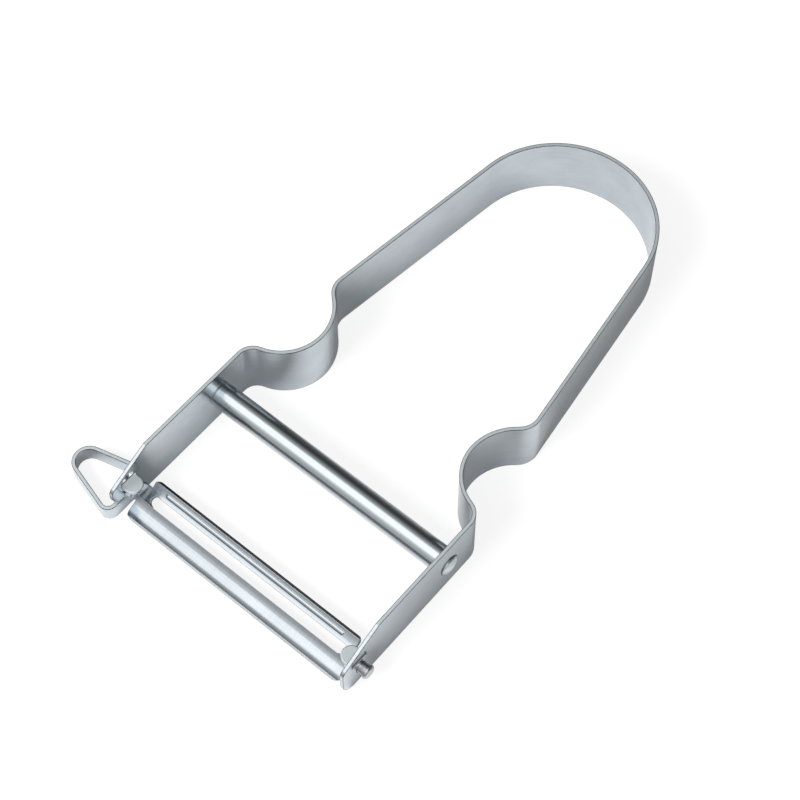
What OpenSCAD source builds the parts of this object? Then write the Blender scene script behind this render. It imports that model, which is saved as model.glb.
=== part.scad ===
// Swivel peeler with a looped strip handle.
// X runs along the crossbar and the blade, Y from the blade to the arch of the handle,
// and Z up from the lower edge of the strip, on which the peeler lies.
// The origin is at the bottom centre of the whole peeler.

/* [Handle strip] */
// Width of the strip, which is the height of the peeler as it lies
strip_width = 12.4; // [11:0.1:16]
// Thickness of the strip
strip_thickness = 0.7; // [0.5:0.05:1]
// Radius of the arch at the top, to the middle of the strip
arch_radius = 17.75; // [15:0.25:21]
// Angle by which each side leans outwards on its way down from the arch
side_flare = 7.35; // [5:0.05:9]
// Length of the straight side between the arch and the corner above the finger bow
side_length = 37.1; // [28:0.1:48]
// Radius of the corner above the finger bow
corner_radius = 3.9; // [3:0.1:5]
// Angle through which that corner turns inwards
corner_turn = 58.9; // [52:0.1:66]
// Radius of the upper part of the finger bow
bow_upper_radius = 10.2; // [8.5:0.1:12]
// Angle covered by the upper part of the finger bow
bow_upper_turn = 41.3; // [36:0.1:46]
// Radius of the lower part of the finger bow
bow_lower_radius = 9; // [8:0.1:10.5]
// Angle covered by the lower part of the finger bow
bow_lower_turn = 84.1; // [80:0.1:88]
// Radius of the shoulder where the bow runs into the arm
shoulder_radius = 3.2; // [2.5:0.1:4.5]
// Straight length of the arm from the shoulder to the blade's pivot
arm_length = 28.4; // [25:0.1:36]

/* [Arm tips] */
// Distance from the middle of the stop tongue to the front edge of the arm
tip_reach = 4.05; // [4:0.05:4.6]
// Radius of the tip's lower corner
tip_low_corner = 3; // [2.4:0.1:3.2]
// Radius of the tip's upper corner
tip_high_corner = 1.3; // [0.8:0.1:1.8]
// Slope of the upper edge near the tip
tip_slant = 26.6; // [24:0.1:29]
// Height of the sloping edge above the middle of the stop tongue
slant_height = 9.85; // [9.8:0.05:10.2]
// Height of the blade's pivot above the strip's lower edge
pivot_height = 4.15; // [3.9:0.05:4.6]
// How far the pivot lies behind the middle of the stop tongue
pivot_lead = 0.4; // [0:0.1:0.8]
// Width of the stop tongue lanced out of each tip
tongue_width = 3.5; // [3:0.1:3.7]
// Straight length of the window that the tongue leaves in the arm
window_side = 0.3; // [0.2:0.05:0.6]
// Height of the tongue's underside above the pivot
tongue_rise = 2.25; // [2.2:0.01:2.4]

/* [Eye remover] */
// Height of the narrow tail that forms the eye remover
loop_height = 3.3; // [2.5:0.1:4]
// Distance from the middle of the stop tongue to the start of the tail's first bend
loop_start = 3.9; // [3:0.1:4]
// Radius of the tail's first bend
loop_bend_radius = 1.45; // [1.2:0.05:2.5]
// Angle between the front side of the loop and the blade
loop_side_angle = 15.2; // [10:0.1:20]
// Straight length of the front side of the loop
loop_side_length = 8.6; // [7:0.1:12]
// Radius of the far corner of the loop
loop_corner_radius = 2.65; // [2.3:0.05:3.5]
// Angle between the returning side of the loop and the blade
loop_return_angle = 14.7; // [10:0.1:20]

/* [Crossbar] */
// Diameter of the crossbar
bar_diameter = 4.9; // [4.6:0.1:6]
// Distance from the end of the shoulder to the crossbar's axis
bar_drop = 5.7; // [4:0.1:8]
// Diameter of the tenon that passes through each arm
bar_tenon_diameter = 3; // [2.4:0.1:3.4]
// Diameter of the peened head outside each arm
bar_head_diameter = 4.3; // [3.8:0.1:5]
// Height of the peened head
bar_head_rise = 0.8; // [0.5:0.05:1.2]

/* [Blade] */
// Thickness of the blade
blade_thickness = 0.9; // [0.75:0.05:1]
// Radius of the hollow face of the front part
front_curve_radius = 3.4; // [3.2:0.1:3.8]
// Radius of the hollow face of the rear part
rear_curve_radius = 5.5; // [5:0.1:6]
// Depth below the pivot of the ridge where the two hollow faces meet
ridge_depth = 1.37; // [1.35:0.01:1.45]
// Distance from the pivot to that ridge, towards the front
ridge_lead = 0.89; // [0.8:0.01:1]
// Slope at which the front part climbs to the ridge
ridge_front_slope = 28.9; // [27:0.1:30]
// Slope at which the rear part falls away from the ridge
ridge_rear_slope = 22.9; // [21:0.1:25]
// Angle covered by the front part, from the ridge to the front edge
front_turn = 65.9; // [60:0.1:66]
// Angle covered by the rear part, from the ridge to the rear edge
rear_turn = 42.9; // [41:0.1:45]
// Half length of the front part of the blade
blade_front_half = 24.4; // [23.6:0.1:24.6]
// Half length of the rear part of the blade
blade_rear_half = 23.1; // [22.8:0.1:23.6]
// Radius of the blade's front corners
blade_front_corner = 1.8; // [0.8:0.1:2]
// Radius of the blade's rear corners
blade_rear_corner = 0.8; // [0.4:0.1:1.2]
// Width of the slot
slot_width = 1.9; // [1.7:0.05:2]
// Half length of the slot, with its round end
slot_half = 22.1; // [20:0.1:22.3]
// Distance of the slot's front edge, which is the cutting edge, in front of the ridge
slot_step = 0.05; // [0.03:0.01:0.1]
// Width of the sharpened bevel under the cutting edge
bevel_width = 0.9; // [0.6:0.1:1.1]
// Flat left on the cutting edge
bevel_land = 0.1; // [0.05:0.01:0.2]
// Radius of the pressed rib behind the slot
rib_radius = 0.6; // [0.5:0.05:0.7]
// Height of the rib above the hollow face
rib_rise = 0.2; // [0.15:0.01:0.25]
// Angle of the rib, round from the lowest line of the rear part
rib_angle = 9.6; // [9:0.1:11]
// Half length of the rib between the centres of its round ends
rib_half = 19.7; // [17:0.1:20]
// Angle at which the blade stands at rest, with its rear edge up
blade_tilt = 28; // [-28:1:28]

/* [Ears and pins] */
// Width of the ear folded up at each end of the blade
ear_width = 3.3; // [3:0.05:3.4]
// Height of the ear's top above the pivot
ear_rise = 1.72; // [1.6:0.01:1.74]
// Cut corner at the ear's top
ear_corner = 0.25; // [0.2:0.05:0.4]
// Outer radius of the fold between the blade and the ear
ear_fold_radius = 1.1; // [0.9:0.05:1.3]
// Gap between the ear and the arm
ear_gap = 0.35; // [0.2:0.05:0.5]
// Diameter of the pivot pin
pin_diameter = 2.2; // [1.8:0.1:2.4]
// How far the pin stands out of the arm
pin_reach = 1.9; // [1.2:0.1:3]
// Diameter of the pin's outer head
pin_head_diameter = 2.7; // [2.5:0.1:3.2]
// Length of the pin's outer head
pin_head_length = 0.55; // [0.4:0.05:0.9]
// Diameter of the peened head inside the ear
pin_rivet_diameter = 2.9; // [2.6:0.1:3]
// Height of the peened head inside the ear
pin_rivet_rise = 0.5; // [0.3:0.05:0.7]

/* [Fits] */
// Radial clearance of the pivot pin in the arm
running_clearance = 0.05; // [0.02:0.01:0.1]
// Radial clearance of pieces that are peened in place
peened_clearance = 0.01; // [0:0.005:0.03]
// Gap between the loop's free end and the arm
loop_end_gap = 0.1; // [0.05:0.05:0.3]
// Slit sheared between the tail and the rounded tip
tail_slit = 0.2; // [0.1:0.05:0.4]
// Radius of the tip's corner above that slit
slit_corner = 2.3; // [1.6:0.1:2.6]

/* [Hidden] */
$fn = 96;

// Length by which every cut runs past what it cuts
overrun = 1;
// Length by which every second stretch of the strip runs on into the stretches beside it
lap = 0.05;
// How far the faces of such a stretch lie inside those of the stretches beside it
lap_inset = 0.002;
half_strip = strip_thickness / 2;

// Centre line of the right side of the strip, from the centre of the arch downwards
function toward(angle) = [cos(angle), sin(angle)];
side_top = arch_radius * toward(side_flare);
side_end = side_top + side_length * toward(side_flare - 90);
corner_centre = side_end - corner_radius * toward(side_flare);
bow_start = side_flare - corner_turn;
bow_upper_centre = corner_centre + (corner_radius + bow_upper_radius) * toward(bow_start);
bow_middle = bow_start + 180 + bow_upper_turn;
bow_lower_centre = bow_upper_centre + (bow_upper_radius - bow_lower_radius) * toward(bow_middle);
bow_end = bow_middle + bow_lower_turn;
shoulder_centre = bow_lower_centre + (bow_lower_radius + shoulder_radius) * toward(bow_end);

// Arms
arm_x = shoulder_centre[0] + shoulder_radius;
arm_inside = arm_x - half_strip;
arm_outside = arm_x + half_strip;
arm_start = shoulder_centre[1];
pivot_y = arm_start - arm_length;
bar_y = arm_start - bar_drop;
bar_z = strip_width / 2;
tip_y = pivot_y - pivot_lead;
tip_front = tip_y - tip_reach;
low_middle = [tip_front + tip_low_corner, tip_low_corner];
high_drop = (tip_reach - tip_high_corner) * tan(tip_slant) + tip_high_corner / cos(tip_slant);
high_middle = [tip_front + tip_high_corner, slant_height - high_drop];
slant_foot = high_middle + tip_high_corner * toward(tip_slant + 90);
slant_run = (strip_width - slant_foot[1]) / tan(tip_slant);
tongue_z = pivot_height + tongue_rise;
tongue_side = window_side + strip_thickness;

// Eye remover
tail_y = tip_y - loop_start;
bend_centre = [-arm_x - loop_bend_radius, tail_y];
front_angle = 270 - loop_side_angle;
front_start = bend_centre + loop_bend_radius * toward(front_angle);
front_end = front_start + loop_side_length * toward(front_angle - 90);
loop_corner = front_end - loop_corner_radius * toward(front_angle);
return_angle = 90 + loop_return_angle;
return_start = loop_corner + loop_corner_radius * toward(return_angle);
return_stop = -arm_outside - loop_end_gap - half_strip * sin(loop_return_angle);
return_length = (return_stop - return_start[0]) / cos(loop_return_angle);

// Blade, in its own frame with the pivot at the origin, the rear towards +Y and the hollow up
ridge = [-ridge_lead, -ridge_depth];
front_outer_radius = front_curve_radius + blade_thickness;
rear_outer_radius = rear_curve_radius + blade_thickness;
front_centre = ridge + front_curve_radius * toward(90 + ridge_front_slope);
rear_centre = ridge + rear_curve_radius * toward(90 - ridge_rear_slope);
front_edge = front_centre[0] - front_outer_radius * sin(front_turn - ridge_front_slope);
rear_edge = rear_centre[0] + rear_outer_radius * sin(rear_turn - ridge_rear_slope);
blade_low = rear_centre[1] - rear_outer_radius;
slot_front = -ridge_lead - slot_step;
slot_middle = slot_front + slot_width / 2;
slot_round = slot_half - slot_width / 2;
rib_distance = rear_curve_radius + rib_radius - rib_rise;
ear_outside = arm_inside - ear_gap;
ear_inside = ear_outside - blade_thickness;
ear_foot = blade_low + blade_thickness / 2;
blade_height = ear_rise - blade_low + 2 * overrun;
pin_radius = pin_diameter / 2;

// Height at which a vertical line meets the lower side of a circle
function low_side(centre, radius, place) = centre[1] - sqrt(pow(radius, 2) - pow(place - centre[0], 2));
edge_z = low_side(front_centre, front_curve_radius, slot_front);
bevel_start = [slot_front, edge_z - bevel_land];
bevel_foot = [slot_front - bevel_width, low_side(front_centre, front_outer_radius, slot_front - bevel_width)];
bevel_end = bevel_foot + (bevel_foot - bevel_start) * overrun / bevel_width;

// Size of the whole peeler, which sets its origin
most_left = loop_corner[0] - loop_corner_radius - half_strip;
most_right = arm_outside + pin_reach;
most_front = min(tail_y - loop_bend_radius - half_strip, tip_front);
most_rear = arch_radius + half_strip;
origin_shift = [-(most_left + most_right) / 2, -(most_front + most_rear) / 2, 0];

steel = [0.66, 0.68, 0.7];
polished = [0.8, 0.82, 0.84];

// Trims a stretch of strip to its two edges
module trim(height) {
    reach = most_rear - most_front;
    intersection() {
        children();
        translate([-reach, -reach, 0])
            cube([2 * reach, 2 * reach, height]);
    }
}

// Strip bent round a centre, from one angle to another
module bend(centre, radius, from, to, height, inset = 0) {
    turn_on = inset > 0 ? asin(lap / radius) : 0;
    trim(height)
        translate(centre)
            rotate([0, 0, from - turn_on])
                rotate_extrude(angle = to - from + 2 * turn_on)
                    translate([radius - half_strip + inset, -overrun])
                        square([strip_thickness - 2 * inset, height + 2 * overrun]);
}

// Straight strip that starts at a point and runs along an angle
module run(start, angle, length, height, inset = 0) {
    run_on = inset > 0 ? lap : 0;
    trim(height)
        translate(start)
            rotate([0, 0, angle])
                translate([-run_on, inset - half_strip, -overrun])
                    cube([length + 2 * run_on, strip_thickness - 2 * inset, height + 2 * overrun]);
}

// Outline seen from the side, with Y across and Z up, made a plate from one X to another
module side_plate(from, to) {
    translate([from, 0, 0])
        rotate([90, 0, 90])
            linear_extrude(height = to - from)
                children();
}

// Round bore or rod along X at the pivot's height and place
module along_x(radius, from, to) {
    translate([from, 0, 0])
        rotate([0, 90, 0])
            cylinder(r = radius, h = to - from);
}

// Low dome standing on a flat face at the origin and facing +X
module dome(radius, rise) {
    ball = (pow(radius, 2) + pow(rise, 2)) / (2 * rise);
    rotate([0, 90, 0])
        intersection() {
            translate([0, 0, rise - ball])
                sphere(r = ball);
            cylinder(r = radius, h = rise);
        }
}

// Arm seen from the side, with its rounded tip and sloping upper edge
module arm_outline() {
    polygon([
        [arm_start, 0], [low_middle[0], 0], low_middle, [tip_front, low_middle[1]], [tip_front, high_middle[1]],
        high_middle, slant_foot, [slant_foot[0] + slant_run, strip_width], [arm_start, strip_width]
    ]);
    translate(low_middle)
        circle(r = tip_low_corner);
    translate(high_middle)
        circle(r = tip_high_corner);
}

// Half-round tongue shape, straight for a length from the hinge and then round
module tongue_outline(length) {
    translate([-tongue_width / 2, 0])
        square([tongue_width, length]);
    translate([0, length])
        circle(d = tongue_width);
}

// Tongue bent inwards from the right arm, seated on its hinge
module tongue() {
    translate([arm_inside, tip_y, tongue_z])
        intersection() {
            rotate([0, 0, 90])
                linear_extrude(height = strip_thickness)
                    tongue_outline(tongue_side);
            translate([-tongue_side - tongue_width, -tongue_width, 0])
                cube([tongue_side + tongue_width, 2 * tongue_width, strip_thickness]);
        }
    translate([arm_inside, tip_y, tongue_z])
        intersection() {
            translate([0, -tongue_width / 2, 0])
                cube([strip_thickness, tongue_width, strip_thickness]);
            translate([0, -tongue_width / 2, 0])
                rotate([-90, 0, 0])
                    cylinder(r = strip_thickness, h = tongue_width);
        }
}

// Everything cut out of an arm: the tongue's window, the pivot hole and the crossbar hole
module arm_cuts() {
    side_plate(arm_inside - overrun, arm_outside + overrun) {
        translate([tip_y, tongue_z])
            intersection() {
                tongue_outline(window_side + strip_thickness);
                translate([-tongue_width, 0])
                    square([2 * tongue_width, strip_width]);
            }
    }
    translate([0, pivot_y, pivot_height])
        along_x(pin_radius + running_clearance, arm_inside - overrun, arm_outside + overrun);
    translate([0, bar_y, bar_z])
        along_x(bar_tenon_diameter / 2 + peened_clearance, arm_inside - overrun, arm_outside + overrun);
}

// Right side of the handle from the arch to the arm
module side() {
    run(side_end, side_flare + 90, side_length, strip_width, lap_inset);
    bend(corner_centre, corner_radius, bow_start, side_flare, strip_width);
    bend(bow_upper_centre, bow_upper_radius, bow_start + 180, bow_middle, strip_width, lap_inset);
    bend(bow_lower_centre, bow_lower_radius, bow_middle, bow_end, strip_width);
    bend(shoulder_centre, shoulder_radius, 0, bow_end - 180, strip_width, lap_inset);
}

// Right arm with its tip, holes, window and tongue
module arm() {
    difference() {
        side_plate(arm_inside, arm_outside)
            arm_outline();
        arm_cuts();
    }
    tongue();
}

// Room cleared in front of the arm below the tail's upper edge, and round the tip's corner above it
module tail_relief() {
    corner_middle = [tip_front + slit_corner, loop_height + tail_slit + slit_corner];
    translate([tip_front - overrun, -overrun])
        square([tail_y - tip_front + overrun, loop_height + overrun]);
    difference() {
        translate([tip_front - overrun, loop_height])
            square([slit_corner + overrun, slit_corner + tail_slit]);
        translate(corner_middle)
            circle(r = slit_corner);
    }
}

// Left arm, whose lower edge runs on into the tail
module arm_with_tail() {
    difference() {
        mirror([1, 0, 0])
            union() {
                difference() {
                    side_plate(arm_inside, arm_outside) {
                        arm_outline();
                        translate([tail_y, 0])
                            square([tip_y - tail_y, loop_height]);
                    }
                    arm_cuts();
                }
                tongue();
            }
        side_plate(-arm_outside - overrun, overrun - arm_inside)
            tail_relief();
    }
}

// Eye remover: the tail bent into a triangle whose free end meets the arm
module eye_remover() {
    bend(bend_centre, loop_bend_radius, front_angle - 360, 0, loop_height, lap_inset);
    run(front_start, front_angle - 90, loop_side_length, loop_height);
    bend(loop_corner, loop_corner_radius, return_angle, front_angle, loop_height, lap_inset);
    run(return_start, loop_return_angle, return_length, loop_height);
}

module handle_strip() {
    color(steel)
        translate(origin_shift) {
            bend([0, 0], arch_radius, side_flare, 180 - side_flare, strip_width);
            side();
            mirror([1, 0, 0])
                side();
            arm();
            arm_with_tail();
            eye_remover();
        }
}

module crossbar() {
    color(polished)
        translate(origin_shift + [0, bar_y, bar_z]) {
            along_x(bar_diameter / 2, -arm_inside, arm_inside);
            along_x(bar_tenon_diameter / 2, -arm_outside, arm_outside);
            for (turn = [0, 180])
                rotate([0, 0, turn])
                    translate([arm_outside, 0, 0])
                        dome(bar_head_diameter / 2, bar_head_rise);
        }
}

// Places a piece of the blade's body at the pivot, tilted as it rests
module at_pivot() {
    translate(origin_shift + [0, pivot_y, pivot_height])
        rotate([blade_tilt, 0, 0])
            children();
}

// Section of a sheet bent round a centre, between two angles
module sheet_section(centre, radius, from, to) {
    outer = radius + blade_thickness;
    translate(centre)
        intersection() {
            difference() {
                circle(r = outer);
                circle(r = radius);
            }
            polygon([
                [0, 0], 2 * outer * toward(from), 2 * outer * toward((from + to) / 2), 2 * outer * toward(to)
            ]);
        }
}

// Section of the blade: a front and a rear hollow that meet in a ridge
module blade_section() {
    front_end = 270 + ridge_front_slope;
    rear_start = 270 - ridge_rear_slope;
    sheet_section(front_centre, front_curve_radius, front_end - front_turn, front_end);
    sheet_section(rear_centre, rear_curve_radius, rear_start, rear_start + rear_turn);
}

// Blade seen from above, with X along it and Y from front to rear
module blade_outline() {
    ear_half = ear_width / 2;
    front_middle = front_edge + blade_front_corner;
    rear_middle = rear_edge - blade_rear_corner;
    translate([-ear_outside, -ear_half])
        square([2 * ear_outside, ear_width]);
    translate([-blade_front_half, front_middle])
        square([2 * blade_front_half, ear_half - front_middle]);
    translate([-blade_rear_half, -ear_half])
        square([2 * blade_rear_half, rear_middle + ear_half]);
    translate([blade_front_corner - blade_front_half, front_edge])
        square([2 * (blade_front_half - blade_front_corner), blade_front_corner]);
    translate([blade_rear_corner - blade_rear_half, rear_middle])
        square([2 * (blade_rear_half - blade_rear_corner), blade_rear_corner]);
    for (way = [-1, 1]) {
        translate([way * (blade_front_half - blade_front_corner), front_middle])
            circle(r = blade_front_corner);
        translate([way * (blade_rear_half - blade_rear_corner), rear_middle])
            circle(r = blade_rear_corner);
    }
}

// Round-ended bar along X, at a distance from the centre of the rear hollow
module rib_bar(distance) {
    place = rear_centre + distance * toward(rib_angle - 90);
    translate([0, place[0], place[1]]) {
        along_x(rib_radius, -rib_half, rib_half);
        for (way = [-1, 1])
            translate([way * rib_half, 0, 0])
                sphere(r = rib_radius);
    }
}

// Slot seen from above, with its round ends
module slot_outline() {
    translate([-slot_round, slot_front])
        square([2 * slot_round, slot_width]);
    for (way = [-1, 1])
        translate([way * slot_round, slot_middle])
            circle(d = slot_width);
}

// Ear at the right end, folded up from the blade, with its foot inside the sheet
module ear() {
    ear_half = ear_width / 2;
    side_plate(ear_inside, ear_outside)
        polygon([
            [-ear_half, ear_foot], [ear_half, ear_foot], [ear_half, ear_rise - ear_corner],
            [ear_half - ear_corner, ear_rise], [ear_corner - ear_half, ear_rise],
            [-ear_half, ear_rise - ear_corner]
        ]);
}

// Takes the sharp corner off the fold below the right ear
module fold_round() {
    reach = ear_fold_radius + overrun;
    translate([ear_outside - ear_fold_radius, -ear_width, blade_low + ear_fold_radius])
        difference() {
            translate([0, 0, -reach])
                cube([reach, 2 * ear_width, reach]);
            rotate([-90, 0, 0])
                cylinder(r = ear_fold_radius, h = 2 * ear_width);
        }
}

// Sheet with its outline, its rib and its two ears, before anything is cut out of it
module blade_blank() {
    intersection() {
        side_plate(-ear_outside, ear_outside)
            blade_section();
        translate([0, 0, blade_low - overrun])
            linear_extrude(height = blade_height)
                blade_outline();
    }
    intersection() {
        rib_bar(rib_distance);
        side_plate(-ear_outside, ear_outside)
            translate(rear_centre)
                circle(r = rear_outer_radius);
    }
    ear();
    mirror([1, 0, 0])
        ear();
}

module blade() {
    color(polished)
        at_pivot()
            difference() {
                blade_blank();
                rib_bar(rib_distance + blade_thickness);
                translate([0, 0, blade_low - overrun])
                    linear_extrude(height = blade_height)
                        slot_outline();
                side_plate(-slot_round, slot_round)
                    polygon([bevel_start, bevel_end, [slot_front, bevel_end[1]]]);
                for (way = [0, 1])
                    mirror([way, 0, 0]) {
                        fold_round();
                        along_x(pin_radius + peened_clearance, ear_inside - overrun, ear_outside + overrun);
                    }
            }
}

// Pin of the right pivot: rivet head inside the ear, shank, and outer head past the arm
module pivot_pin() {
    head_start = arm_outside + pin_reach - pin_head_length;
    head_radius = pin_head_diameter / 2;
    edge = head_radius - pin_radius;
    along_x(pin_radius, ear_inside, head_start);
    translate([head_start, 0, 0])
        rotate([0, 90, 0]) {
            cylinder(r = head_radius, h = pin_head_length - edge);
            translate([0, 0, pin_head_length - edge])
                cylinder(r1 = head_radius, r2 = pin_radius, h = edge);
        }
    translate([ear_inside, 0, 0])
        rotate([0, 0, 180])
            dome(pin_rivet_diameter / 2, pin_rivet_rise);
}

module pivot_pin_left() {
    color(polished)
        at_pivot()
            mirror([1, 0, 0])
                pivot_pin();
}

module pivot_pin_right() {
    color(polished)
        at_pivot()
            pivot_pin();
}

handle_strip();
crossbar();
blade();
pivot_pin_left();
pivot_pin_right();
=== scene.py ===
import bpy
import bmesh
import math
from mathutils import Matrix, Vector

bl_info = {
    "name": "Loop-handled swivel peeler",
    "version": (1, 0, 0),
    "blender": (4, 5, 0),
    "location": "3D View > Sidebar > Peeler",
    "description": "Dresses the packed peeler in satin and polished steel on a pale studio floor",
    "category": "Object",
}

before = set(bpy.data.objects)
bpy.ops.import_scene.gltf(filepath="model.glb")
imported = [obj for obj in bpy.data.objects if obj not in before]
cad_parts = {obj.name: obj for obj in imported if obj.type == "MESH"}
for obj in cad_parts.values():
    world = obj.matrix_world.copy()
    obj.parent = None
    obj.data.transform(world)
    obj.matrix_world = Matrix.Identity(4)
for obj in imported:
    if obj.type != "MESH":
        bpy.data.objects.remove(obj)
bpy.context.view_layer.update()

WHITE = (1.0, 1.0, 1.0, 1.0)
BLACK = (0.0, 0.0, 0.0, 1.0)

# Places of the sockets of a Mix node that mixes colours, where names would find its numbers
MIX_SHARE, MIX_LOW, MIX_HIGH, MIX_RESULT = 0, 6, 7, 2

# The part of a noise's range in which nearly all of it lies
NOISE_RANGE = (0.3, 0.7)

# How far the rounded normal leans from the flat one, as 1 - cosine, from none to all of a mark
EDGE_WEAR_AND_HIGHLIGHT = (0.01, 0.12)
CORNER_SHADE_LINE = (0.004, 0.035)
BEVEL_SAMPLES = 8

# Parts of a piece's own normal that pick out a face, from none to all of it
LOOKING_UP = (0.9, 0.97)
LOOKING_BACK = (0.55, 0.62)

# Heights between which the stop tongues' faces lie, in metres
TONGUE_FLOOR = (0.0055, 0.006)
TONGUE_CEILING = (0.0075, 0.008)

# Sizes of the marks in the strip, in metres
MOTTLE_SPACING = 0.006
RUBBED_SPACING = 0.018
SCRATCH_SPACING = 0.0045
SCRATCH_HALF_WIDTH = 0.03    # in spacings
SPECKLE_WIDTH = 1.5          # in spacings of the rolled grain

# The crossbar, in metres: its middle, how far from there it is peened, and where a dome meets
# the arm
BAR_MIDDLE = (0.00509226, -0.0262854, 0.0062)
PEENED_BEYOND = (0.0262, 0.0263)
DOME_FOOT = (0.0018, 0.0021)

# Sizes of the marks in the crossbar, the blade and the pins, in metres
RING_SPACING = 0.00022
RUB_SPACING = 0.0006
BAR_CLOUD_SPACING = 0.005
DENT_SPACING = 0.0011
GROUND_SPACING = 0.0002
DRAWN_SPACING = 0.0004
BLADE_CLOUD_SPACING = 0.004
STREAK_SPACING = 0.00035
HAMMERED_SPACING = 0.0005

# Depths of relief, in depths of the strip's grain
BAR_DEPTH = 0.35
BLADE_DEPTH = 0.7
DENT_DEPTH = 100.0           # in depths of the crossbar's own marks

# Brightness of the studio walls by the angle above the horizon behind the arch, in degrees
STUDIO_WALLS = (
    (0, 0.17), (15, 0.08), (31, 0.04), (47, 0.075), (63, 0.24), (79, 0.5), (92, 0.6),
    (130, 0.6), (143, 0.85), (159, 0.5), (180, 0.52),
)
HALF_TURN = 180

# The paper floor: fibres and depths in metres
FIBRE_SPACING = 0.002
FIBRE_DEPTH = 0.0002
FIBRE_STRENGTH = 0.2
PAPER_ROUGHNESS = 0.9
PAPER_SPECULAR = 0.1
FLOOR_SIDES = 96
FLOOR_DROP = 0.00002         # under the strip's lower edge, so that no plane is shared

# Shares of plain white in the floor for the camera and for the steel, the brightness of that
# white, and how dark the steel sees the floor at grazing angles
WHITE_TO_CAMERA = 0.75
WHITE_TO_STEEL = 0.05
FLOOR_WHITE = 1.12
GRAZING_DARK = 0.9
GRAZING_BLEND = 0.5

# Lamps: distance and side in metres, and directions from the peeler
LAMP_DISTANCE = 1.0
SOFTBOX_LEAN = -0.15
FLOOR_LAMP_SIDE = 0.45
FLOOR_LAMP_AWAY = (-0.28, -1.1, 1.0)

# Camera: sensor in millimetres, clipping in metres
SENSOR_WIDTH = 36.0
CLIP_START = 0.01
CLIP_END = 20.0


class Wire:
    """One output of a shader tree, on which Python's own signs do the maths."""

    def __init__(self, tree, socket):
        self.tree = tree
        self.socket = socket

    def __add__(self, other):
        return self.tree.maths("ADD", self, other)

    def __radd__(self, other):
        return self.tree.maths("ADD", other, self)

    def __sub__(self, other):
        return self.tree.maths("SUBTRACT", self, other)

    def __rsub__(self, other):
        return self.tree.maths("SUBTRACT", other, self)

    def __mul__(self, other):
        return self.tree.maths("MULTIPLY", self, other)

    def __rmul__(self, other):
        return self.tree.maths("MULTIPLY", other, self)

    def __abs__(self):
        return self.tree.maths("ABSOLUTE", self)

    def larger(self, other):
        return self.tree.maths("MAXIMUM", self, other)

    def clipped(self):
        """The same value, held between 0 and 1."""
        return self.tree.maths("ADD", self, 0.0, clamp=True)

    def centred(self):
        """A value about 0.5 turned into one about 0."""
        return self - 0.5

    def window(self, low, high):
        """0 at low and 1 at high, with a soft start and stop."""
        return self.tree.node("ShaderNodeMapRange", {"interpolation_type": "SMOOTHSTEP"},
                              {"Value": self, "From Min": low, "From Max": high})["Result"]


class Outputs:
    """The outputs of a node, by name or by place."""

    def __init__(self, tree, node):
        self.tree = tree
        self.node = node

    def __getitem__(self, key):
        return Wire(self.tree, self.node.outputs[key])


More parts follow.
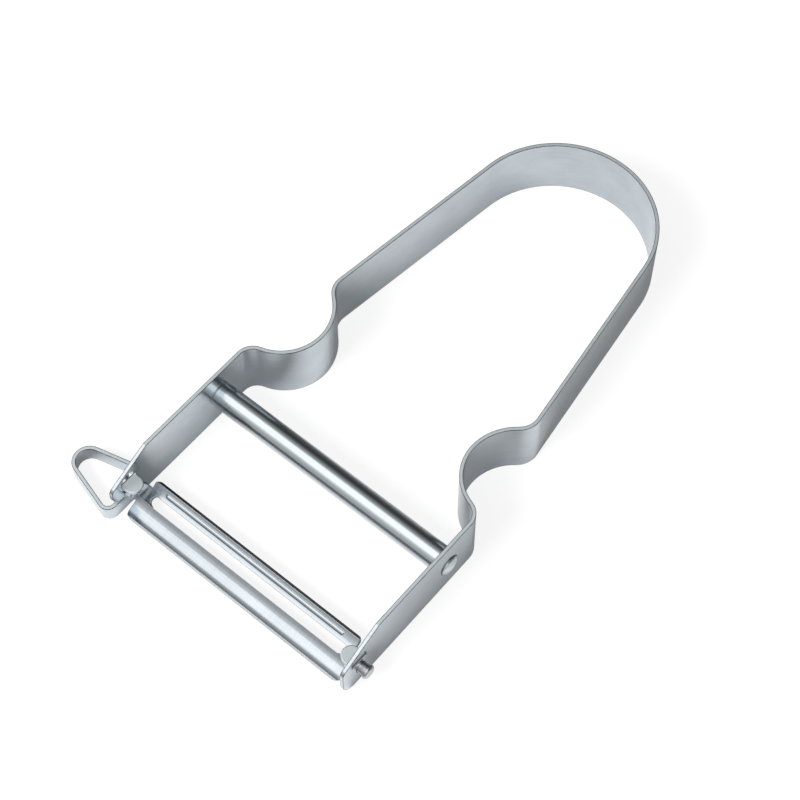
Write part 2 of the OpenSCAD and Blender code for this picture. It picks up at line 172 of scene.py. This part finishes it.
class Tree:
    """The node tree of a material or world, which is built by calls."""

    def __init__(self, owner):
        owner.use_nodes = True
        self.links = owner.node_tree.links
        self.nodes = owner.node_tree.nodes
        self.nodes.clear()

    def node(self, kind, settings=None, sockets=None):
        """Makes a node of a kind, then its settings, then its sockets' values and links."""
        made = self.nodes.new(kind)
        for name, value in (settings or {}).items():
            if name == "stops":
                self.set_stops(made.color_ramp, value)
            else:
                setattr(made, name, value)
        for name, value in (sockets or {}).items():
            socket = made.inputs[name]
            if isinstance(value, Wire):
                self.links.new(value.socket, socket)
            else:
                socket.default_value = value
        return Outputs(self, made)

    @staticmethod
    def set_stops(ramp, stops):
        """Gives a ramp its grey stops, as pairs of place and brightness."""
        while len(ramp.elements) < len(stops):
            ramp.elements.new(0.5)
        for element, (place, brightness) in zip(ramp.elements, stops):
            element.position = place
            element.color = (brightness, brightness, brightness, 1.0)

    def maths(self, operation, *values, clamp=False):
        return self.node("ShaderNodeMath", {"operation": operation, "use_clamp": clamp},
                         dict(enumerate(values)))[0]

    def vector_maths(self, operation, *values):
        return self.node("ShaderNodeVectorMath", {"operation": operation},
                         dict(enumerate(values)))

    def split(self, vector):
        parts = self.node("ShaderNodeSeparateXYZ", sockets={0: vector})
        return parts["X"], parts["Y"], parts["Z"]

    def place(self):
        """The point on the piece, in metres, which stays with the piece when it moves."""
        return self.node("ShaderNodeTexCoord")["Object"]

    def own_normal(self):
        """The parts of the normal as it stands on the piece, which move with the piece."""
        return self.split(self.node("ShaderNodeTexCoord")["Normal"])

    def spaced(self, vector, spacing, stretch):
        """The point in spacings, where a stretch under 1 draws the pattern out."""
        factors = tuple(part / spacing for part in stretch)
        return self.vector_maths("MULTIPLY", vector, factors)[0]

    def grain(self, vector, spacing, stretch=(1.0, 1.0, 1.0), detail=3.0, roughness=0.6):
        """Noise from 0 to 1 whose lumps are about as wide as the spacing, in metres."""
        return self.node("ShaderNodeTexNoise", {"noise_dimensions": "3D"},
                         {"Vector": self.spaced(vector, spacing, stretch), "Scale": 1.0,
                          "Detail": detail, "Roughness": roughness})["Fac"]

    def cells(self, vector, spacing, stretch=(1.0, 1.0, 1.0)):
        """Distance to the nearest of many scattered points, in spacings."""
        return self.node("ShaderNodeTexVoronoi", {"feature": "F1"},
                         {"Vector": self.spaced(vector, spacing, stretch),
                          "Scale": 1.0})["Distance"]

    def blend(self, share, low, high):
        """A colour that goes from low to high with the share."""
        return self.node("ShaderNodeMix", {"data_type": "RGBA"},
                         {MIX_SHARE: share, MIX_LOW: low, MIX_HIGH: high})[MIX_RESULT]

    def mix(self, share, low, high):
        """A shader that goes from low to high with the share."""
        return self.node("ShaderNodeMixShader", sockets={0: share, 1: low, 2: high})[0]

    def relief(self, height, depth, strength=1.0, **normal):
        """The normal of a surface with bumps as deep as the depth, in metres."""
        return self.node("ShaderNodeBump",
                         sockets={"Strength": strength, "Distance": depth, "Height": height,
                                  **normal})["Normal"]


def shade(colour, factor):
    """A lighter or darker colour, with no part of it over 1."""
    return tuple(min(1.0, part * factor) for part in colour[:3]) + (1.0,)


class Steel:
    """A bare steel surface, to which a finish gives its colour, roughness and relief."""

    def __init__(self, name, tint, edge_round):
        self.material = bpy.data.materials.new(name)
        self.tint = tint
        self.tree = Tree(self.material)
        self.point = self.tree.place()
        self.soft_normal = self.tree.node("ShaderNodeBevel", {"samples": BEVEL_SAMPLES},
                                          {"Radius": edge_round})["Normal"]
        flat_normal = self.tree.node("ShaderNodeNewGeometry")["Normal"]
        facing = self.tree.vector_maths("DOT_PRODUCT", self.soft_normal, flat_normal)["Value"]
        self.leaning = 1.0 - facing
        # 1 on the very edges, where handling has worn the steel smoother; the crossbar, blade and
        # pins also paint a highlight there by lightening its colour
        self.edge = self.leaning.window(*EDGE_WEAR_AND_HIGHLIGHT)

    def mottled(self, level, dark, light):
        """Colour that goes from a darker to a lighter shade of the tint with the level."""
        return self.tree.blend(level, shade(self.tint, dark), shade(self.tint, light))

    def toned(self, colour, share, factor):
        """A colour that gives way to a lighter or darker shade of the tint by a share."""
        return self.tree.blend(share, colour, shade(self.tint, factor))

    def finish(self, colour, roughness, marks, depth):
        bump = self.tree.relief(marks, depth, Normal=self.soft_normal)
        shader = self.tree.node("ShaderNodeBsdfPrincipled",
                                sockets={"Base Color": colour, "Metallic": 1.0,
                                         "Roughness": roughness, "Normal": bump})["BSDF"]
        self.tree.node("ShaderNodeOutputMaterial", sockets={"Surface": shader})
        return self.material


def rolled_strip_steel(look):
    """Satin strip: grain rolled along it, faint mottling and scratches, and painted highlights on
    the slit edges and stop tongues, with painted shade lines.
    """
    steel = Steel("satin_rolled_strip", look.strip_tint, look.strip_edge_round)
    tree, point = steel.tree, steel.point
    along = tree.grain(point, look.grain_spacing, stretch=(0.04, 0.04, 1.0), detail=4.0,
                       roughness=0.65)
    speckle = tree.grain(point, look.grain_spacing * SPECKLE_WIDTH, detail=2.0, roughness=0.5)
    mottle = tree.grain(point, MOTTLE_SPACING, stretch=(1.0, 1.0, 1.6), roughness=0.5)
    rubbed = tree.grain(point, RUBBED_SPACING, detail=2.0, roughness=0.4).window(0.45, 0.7)
    scratch = 1.0 - tree.cells(point, SCRATCH_SPACING,
                               stretch=(0.12, 0.5, 1.6)).window(0.0, SCRATCH_HALF_WIDTH)
    level = (0.45 * along + 0.2 * speckle + 0.35 * mottle).window(*NOISE_RANGE)
    height = tree.split(point)[2]
    upward = tree.own_normal()[2].window(*LOOKING_UP)
    tongue = (upward * height.window(*TONGUE_FLOOR)
              * (1.0 - height.window(*TONGUE_CEILING)))
    corner_shade = steel.leaning.window(*CORNER_SHADE_LINE)
    colour = steel.mottled(level, dark=0.87, light=1.07)
    # Painted light: a slit edge's top is painted lighter as a highlight, between two thin dark
    # lines of painted shade where tumbling rolled its corners over
    colour = steel.toned(colour, share=upward * 0.9, factor=1.45)
    colour = steel.toned(colour, share=corner_shade * 0.95, factor=0.16)
    # Painted highlight: the stop tongues' top faces are painted lighter
    colour = steel.toned(colour, share=tongue * (0.7 + 0.3 * level), factor=1.45)
    roughness = (look.strip_roughness + 0.07 * along.centred() + 0.05 * mottle.centred()
                 - 0.03 * rubbed - 0.05 * steel.edge + 0.38 * upward - 0.14 * tongue).clipped()
    marks = 0.7 * along + 0.3 * speckle - 0.25 * scratch
    return steel.finish(colour, roughness, marks, look.grain_depth)


def turned_bar_steel(look):
    """Polished bar: fine turning marks round it, faint rubs along it, and hammered ends."""
    steel = Steel("polished_bar", look.bar_tint, look.bar_end_round)
    tree, point = steel.tree, steel.point
    rings = tree.grain(point, RING_SPACING, stretch=(1.0, 0.03, 0.03))
    rubs = tree.grain(point, RUB_SPACING, stretch=(0.03, 1.0, 1.0))
    cloud = tree.grain(point, BAR_CLOUD_SPACING, stretch=(0.5, 1.0, 1.0), detail=2.0,
                       roughness=0.5)
    dents = tree.grain(point, DENT_SPACING, detail=1.0, roughness=0.4)
    level = (0.4 * rings + 0.3 * rubs + 0.3 * cloud).window(*NOISE_RANGE)
    along, across, over = (place - middle for place, middle in zip(tree.split(point), BAR_MIDDLE))
    peened = abs(along).window(*PEENED_BEYOND)
    radius_squared = across * across + over * over
    dome_foot_shade = peened * radius_squared.window(*(radius ** 2 for radius in DOME_FOOT))
    colour = steel.mottled(level, dark=0.95, light=1.04)
    # Painted highlight: the very edges are painted lighter
    colour = steel.toned(colour, share=steel.edge * 0.5, factor=1.15)
    # Painted light: the hammered domes are painted lighter as a highlight, with a ring of painted
    # shade round the foot of each
    colour = steel.toned(colour, share=peened, factor=1.4)
    colour = steel.toned(colour, share=dome_foot_shade * 0.8, factor=0.15)
    roughness = (look.bar_roughness + 0.05 * rings.centred() + 0.05 * cloud.centred()
                 + 0.12 * peened).clipped()
    marks = (0.5 * rings + 0.5 * rubs) * (1.0 - peened) + DENT_DEPTH * dents * peened
    return steel.finish(colour, roughness, marks, look.grain_depth * BAR_DEPTH)


def pressed_blade_steel(look):
    """Pressed blade: fine lines ground across it, drawing marks along it, and painted shade on
    the rear.
    """
    steel = Steel("ground_blade", look.blade_tint, look.edge_round)
    tree, point = steel.tree, steel.point
    ground = tree.grain(point, GROUND_SPACING, stretch=(1.0, 0.05, 0.05))
    drawn = tree.grain(point, DRAWN_SPACING, stretch=(0.03, 1.0, 1.0))
    cloud = tree.grain(point, BLADE_CLOUD_SPACING, stretch=(0.4, 1.0, 1.0), roughness=0.5)
    level = (0.35 * ground + 0.3 * drawn + 0.35 * cloud).window(*NOISE_RANGE)
    rear_shade = tree.own_normal()[1].window(*LOOKING_BACK)
    colour = steel.mottled(level, dark=0.87, light=1.07)
    # Painted highlight: the very edges are painted lighter
    colour = steel.toned(colour, share=steel.edge * 0.6, factor=1.15)
    # The rear edge is left as sheared, and its faces are painted near black as painted shade
    colour = steel.toned(colour, share=rear_shade * 0.85, factor=0.1)
    roughness = (look.blade_roughness + 0.06 * ground.centred() + 0.05 * cloud.centred()
                 - 0.03 * steel.edge).clipped()
    return steel.finish(colour, roughness, 0.6 * ground + 0.4 * drawn,
                        look.grain_depth * BLADE_DEPTH)


def drawn_pin_steel(look):
    """Drawn wire pin: streaks along the pin and a dull hammered head."""
    steel = Steel("drawn_pin", look.pin_tint, look.edge_round)
    tree, point = steel.tree, steel.point
    streaks = tree.grain(point, STREAK_SPACING, stretch=(0.05, 1.0, 1.0))
    hammered = tree.grain(point, HAMMERED_SPACING, detail=2.0, roughness=0.5)
    marks = 0.6 * streaks + 0.4 * hammered
    colour = steel.mottled(marks.window(*NOISE_RANGE), dark=0.88, light=1.06)
    # Painted highlight: the very edges are painted lighter
    colour = steel.toned(colour, share=steel.edge * 0.5, factor=1.15)
    roughness = (look.pin_roughness + 0.12 * streaks.centred()
                 + 0.06 * hammered.centred()).clipped()
    return steel.finish(colour, roughness, marks, look.grain_depth)


class PeelerLook(bpy.types.PropertyGroup):
    """Colours and finishes of the peeler that a user would change"""

    strip_tint: bpy.props.FloatVectorProperty(
        name="Strip colour", description="Colour of the satin strip",
        subtype="COLOR", size=3, min=0.0, max=1.0, default=(0.62, 0.67, 0.71))
    strip_roughness: bpy.props.FloatProperty(
        name="Strip roughness", description="How dull the strip's satin is",
        subtype="FACTOR", min=0.05, max=0.8, default=0.22)
    bar_tint: bpy.props.FloatVectorProperty(
        name="Crossbar colour", description="Colour of the polished crossbar",
        subtype="COLOR", size=3, min=0.0, max=1.0, default=(0.64, 0.69, 0.72))
    bar_roughness: bpy.props.FloatProperty(
        name="Crossbar roughness", description="How dull the crossbar's polish is",
        subtype="FACTOR", min=0.02, max=0.8, default=0.18)
    blade_tint: bpy.props.FloatVectorProperty(
        name="Blade colour", description="Colour of the pressed blade",
        subtype="COLOR", size=3, min=0.0, max=1.0, default=(0.6, 0.65, 0.69))
    blade_roughness: bpy.props.FloatProperty(
        name="Blade roughness", description="How dull the blade's polish is",
        subtype="FACTOR", min=0.02, max=0.8, default=0.2)
    pin_tint: bpy.props.FloatVectorProperty(
        name="Pin colour", description="Colour of the drawn pivot pins",
        subtype="COLOR", size=3, min=0.0, max=1.0, default=(0.6, 0.62, 0.64))
    pin_roughness: bpy.props.FloatProperty(
        name="Pin roughness", description="How dull the pins are",
        subtype="FACTOR", min=0.02, max=0.8, default=0.28)
    strip_edge_round: bpy.props.FloatProperty(
        name="Strip edge rounding", description="Radius of the strip's tumbled edges",
        subtype="DISTANCE", unit="LENGTH", min=0.0, max=0.001, default=0.00026)
    bar_end_round: bpy.props.FloatProperty(
        name="Crossbar end rounding", description="Radius turned on the crossbar's shoulders",
        subtype="DISTANCE", unit="LENGTH", min=0.0, max=0.001, default=0.0006)
    edge_round: bpy.props.FloatProperty(
        name="Edge rounding", description="Radius of the deburred edges",
        subtype="DISTANCE", unit="LENGTH", min=0.0, max=0.001, default=0.00012)
    grain_spacing: bpy.props.FloatProperty(
        name="Grain spacing", description="Width of the strip's rolled grain",
        subtype="DISTANCE", unit="LENGTH", min=0.00002, max=0.002, default=0.00018)
    grain_depth: bpy.props.FloatProperty(
        name="Grain depth", description="Height of the strip's rolled grain",
        subtype="DISTANCE", unit="LENGTH", min=0.0, max=0.0002, default=0.000009)


class PeelerStage(bpy.types.PropertyGroup):
    """Sizes of the stage that a user would change"""

    floor_radius: bpy.props.FloatProperty(
        name="Floor radius", description="Radius of the pale floor",
        subtype="DISTANCE", unit="LENGTH", min=0.3, max=10.0, default=3.0)
    floor_tint: bpy.props.FloatVectorProperty(
        name="Floor colour", description="Colour of the floor",
        subtype="COLOR", size=3, min=0.0, max=1.0, default=(0.92, 0.92, 0.92))
    softbox_angle: bpy.props.FloatProperty(
        name="Softbox angle", description="Angle above the horizon behind the peeler's arch",
        subtype="ANGLE", unit="ROTATION", default=math.radians(112.0))
    softbox_width: bpy.props.FloatProperty(
        name="Softbox width", description="Width of the softbox from rear to front",
        subtype="DISTANCE", unit="LENGTH", min=0.1, max=5.0, default=0.88)
    softbox_length: bpy.props.FloatProperty(
        name="Softbox length", description="Length of the softbox along the blade",
        subtype="DISTANCE", unit="LENGTH", min=0.1, max=5.0, default=2.4)
    softbox_brightness: bpy.props.FloatProperty(
        name="Softbox brightness", description="Brightness of its face, where 1 is white",
        min=0.0, max=5.0, default=0.86)
    floor_lamp_brightness: bpy.props.FloatProperty(
        name="Floor lamp brightness", description="Brightness of the lamp that lights the floor",
        min=0.0, max=50.0, default=18.5)
    camera_place: bpy.props.FloatVectorProperty(
        name="Camera place", description="Where the camera stands",
        subtype="XYZ", unit="LENGTH", size=3, default=(0.1212039, -0.1454398, 0.3163180))
    camera_azimuth: bpy.props.FloatProperty(
        name="Camera azimuth", description="Turn of the camera round the peeler",
        subtype="ANGLE", unit="ROTATION", default=math.radians(40.148))
    camera_elevation: bpy.props.FloatProperty(
        name="Camera elevation", description="Height of the camera above the horizon",
        subtype="ANGLE", unit="ROTATION", default=math.radians(59.726))
    camera_roll: bpy.props.FloatProperty(
        name="Camera roll", description="Turn of the camera about its own axis",
        subtype="ANGLE", unit="ROTATION", default=math.radians(-0.186))
    lens: bpy.props.FloatProperty(
        name="Lens", description="Focal length on a sensor 36 mm wide",
        subtype="DISTANCE_CAMERA", unit="CAMERA", min=20.0, max=300.0, default=92.295)


def dress(names, material):
    """Gives CAD nodes a material, in every slot that they have."""
    for name in names:
        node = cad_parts[name]
        if not node.material_slots:
            node.data.materials.append(material)
        for slot in node.material_slots:
            slot.material = material


class PEELER_OT_strip(bpy.types.Operator):
    """Gives the bent strip, with its arms and eye remover, its satin rolled finish"""
    bl_idname = "peeler.strip"
    bl_label = "Dress the strip"

    def execute(self, context):
        dress(["handle_strip"], rolled_strip_steel(context.scene.peeler_look))
        return {"FINISHED"}


class PEELER_OT_crossbar(bpy.types.Operator):
    """Gives the crossbar its polished finish"""
    bl_idname = "peeler.crossbar"
    bl_label = "Dress the crossbar"

    def execute(self, context):
        dress(["crossbar"], turned_bar_steel(context.scene.peeler_look))
        return {"FINISHED"}


class PEELER_OT_blade(bpy.types.Operator):
    """Gives the swivelling blade its ground and polished finish"""
    bl_idname = "peeler.blade"
    bl_label = "Dress the blade"

    def execute(self, context):
        dress(["blade"], pressed_blade_steel(context.scene.peeler_look))
        return {"FINISHED"}


class PEELER_OT_pins(bpy.types.Operator):
    """Gives the two pivot pins their drawn finish"""
    bl_idname = "peeler.pins"
    bl_label = "Dress the pins"

    def execute(self, context):
        dress(["pivot_pin_left", "pivot_pin_right"], drawn_pin_steel(context.scene.peeler_look))
        return {"FINISHED"}


def studio_world():
    """White to the camera, and dim walls for the light and for reflections."""
    world = bpy.data.worlds.new("studio")
    bpy.context.scene.world = world
    tree = Tree(world)
    _, behind, above = tree.split(tree.node("ShaderNodeTexCoord")["Generated"])
    half_turns = tree.maths("ARCTAN2", above, behind) * (1.0 / math.pi)
    stops = [(degrees / HALF_TURN, brightness) for degrees, brightness in STUDIO_WALLS]
    walls = tree.node("ShaderNodeValToRGB", {"stops": stops},
                      {"Fac": half_turns.clipped()})["Color"]
    lit, white = (tree.node("ShaderNodeBackground", sockets={"Color": colour, "Strength": 1.0})[0]
                  for colour in (walls, WHITE))
    seen = tree.node("ShaderNodeLightPath")["Is Camera Ray"]
    tree.node("ShaderNodeOutputWorld", sockets={"Surface": tree.mix(seen, lit, white)})


def paper_floor(look):
    """Paper that is near white to the camera, keeps a faint shadow and grazes dark in steel."""
    material = bpy.data.materials.new("pale_paper")
    tree = Tree(material)
    fibre = tree.grain(tree.place(), FIBRE_SPACING, detail=4.0)
    colour = tree.blend(fibre, shade(look.floor_tint, 0.985), shade(look.floor_tint, 1.01))
    bump = tree.relief(fibre, FIBRE_DEPTH, FIBRE_STRENGTH)
    paper = tree.node("ShaderNodeBsdfPrincipled",
                      sockets={"Base Color": colour, "Roughness": PAPER_ROUGHNESS,
                               "Specular IOR Level": PAPER_SPECULAR, "Normal": bump})["BSDF"]
    white = tree.node("ShaderNodeEmission",
                      sockets={"Color": WHITE, "Strength": FLOOR_WHITE})[0]
    black = tree.node("ShaderNodeEmission", sockets={"Color": BLACK, "Strength": 0.0})[0]
    path = tree.node("ShaderNodeLightPath")
    mirrored = path["Is Glossy Ray"].larger(path["Is Transmission Ray"])
    whitened = (path["Is Camera Ray"] * WHITE_TO_CAMERA).larger(mirrored * WHITE_TO_STEEL)
    grazing = tree.node("ShaderNodeLayerWeight", sockets={"Blend": GRAZING_BLEND})["Facing"]
    bright = tree.mix(whitened, paper, white)
    floor = tree.mix(mirrored * grazing * GRAZING_DARK, bright, black)
    tree.node("ShaderNodeOutputMaterial", sockets={"Surface": floor})
    return material


def lay_floor(look):
    mesh = bpy.data.meshes.new("floor")
    shape = bmesh.new()
    bmesh.ops.create_circle(shape, cap_ends=True, segments=FLOOR_SIDES,
                            radius=look.floor_radius)
    shape.to_mesh(mesh)
    shape.free()
    floor = bpy.data.objects.new("floor", mesh)
    floor.location = (0.0, 0.0, -FLOOR_DROP)
    mesh.materials.append(paper_floor(look))
    bpy.context.collection.objects.link(floor)


def turn(thing, right, back):
    """Turns a lamp or camera by its own right side and the direction that it looks away from."""
    axes = Matrix((right, back.cross(right), back)).transposed()
    thing.rotation_mode = "QUATERNION"
    thing.rotation_quaternion = axes.to_quaternion()


def hang_lamp(name, length, width, brightness, away):
    """Hangs a rectangular lamp whose lit face points back along a direction at the peeler."""
    lamp = bpy.data.lights.new(name, "AREA")
    lamp.shape = "RECTANGLE"
    lamp.size = length
    lamp.size_y = width
    lamp.energy = brightness * math.pi * length * width
    away = away.normalized()
    across = Vector((1.0, 0.0, 0.0))
    across = (across - across.dot(away) * away).normalized()
    hung = bpy.data.objects.new(name, lamp)
    hung.location = LAMP_DISTANCE * away
    turn(hung, across, away)
    hung.visible_camera = False
    bpy.context.collection.objects.link(hung)
    return hung


def hang_lamps(look):
    """The softbox that the steel mirrors, and the lamp that lights the floor under it."""
    angle = look.softbox_angle
    softbox = hang_lamp("softbox", look.softbox_length, look.softbox_width,
                        look.softbox_brightness,
                        Vector((SOFTBOX_LEAN, math.cos(angle), math.sin(angle))))
    softbox.visible_diffuse = False
    floor_lamp = hang_lamp("floor_lamp", FLOOR_LAMP_SIDE, FLOOR_LAMP_SIDE,
                           look.floor_lamp_brightness, Vector(FLOOR_LAMP_AWAY))
    floor_lamp.visible_glossy = False


def set_camera(look):
    azimuth, elevation, roll = look.camera_azimuth, look.camera_elevation, look.camera_roll
    back = Vector((math.sin(azimuth) * math.cos(elevation),
                   -math.cos(azimuth) * math.cos(elevation), math.sin(elevation)))
    level = Vector((math.cos(azimuth), math.sin(azimuth), 0.0))
    right = math.cos(roll) * level + math.sin(roll) * back.cross(level)
    data = bpy.data.cameras.new("camera")
    data.sensor_width = SENSOR_WIDTH
    data.lens = look.lens
    data.clip_start = CLIP_START
    data.clip_end = CLIP_END
    camera = bpy.data.objects.new("camera", data)
    camera.location = Vector(look.camera_place)
    turn(camera, right, back)
    bpy.context.collection.objects.link(camera)
    bpy.context.scene.camera = camera


class PEELER_OT_stage(bpy.types.Operator):
    """Lays the floor and sets the studio light and the camera"""
    bl_idname = "peeler.stage"
    bl_label = "Set the stage"

    def execute(self, context):
        look = context.scene.peeler_stage
        set_camera(look)
        studio_world()
        lay_floor(look)
        hang_lamps(look)
        context.scene.view_settings.view_transform = "Standard"
        return {"FINISHED"}


class PEELER_PT_panel(bpy.types.Panel):
    bl_label = "Peeler"
    bl_idname = "PEELER_PT_panel"
    bl_space_type = "VIEW_3D"
    bl_region_type = "UI"
    bl_category = "Peeler"

    def draw(self, context):
        for group in (context.scene.peeler_look, context.scene.peeler_stage):
            box = self.layout.box()
            for name in group.__annotations__:
                box.prop(group, name)
        for operator in OPERATORS:
            self.layout.operator(operator.bl_idname)


OPERATORS = (PEELER_OT_stage, PEELER_OT_strip, PEELER_OT_crossbar, PEELER_OT_blade,
             PEELER_OT_pins)
CLASSES = (PeelerLook, PeelerStage) + OPERATORS + (PEELER_PT_panel,)


def register():
    for made in CLASSES:
        bpy.utils.register_class(made)
    bpy.types.Scene.peeler_look = bpy.props.PointerProperty(type=PeelerLook)
    bpy.types.Scene.peeler_stage = bpy.props.PointerProperty(type=PeelerStage)


def unregister():
    del bpy.types.Scene.peeler_look
    del bpy.types.Scene.peeler_stage
    for made in reversed(CLASSES):
        bpy.utils.unregister_class(made)


def main():
    register()
    bpy.ops.peeler.stage()
    bpy.ops.peeler.strip()
    bpy.ops.peeler.crossbar()
    bpy.ops.peeler.blade()
    bpy.ops.peeler.pins()


if __name__ == "__main__":
    main()
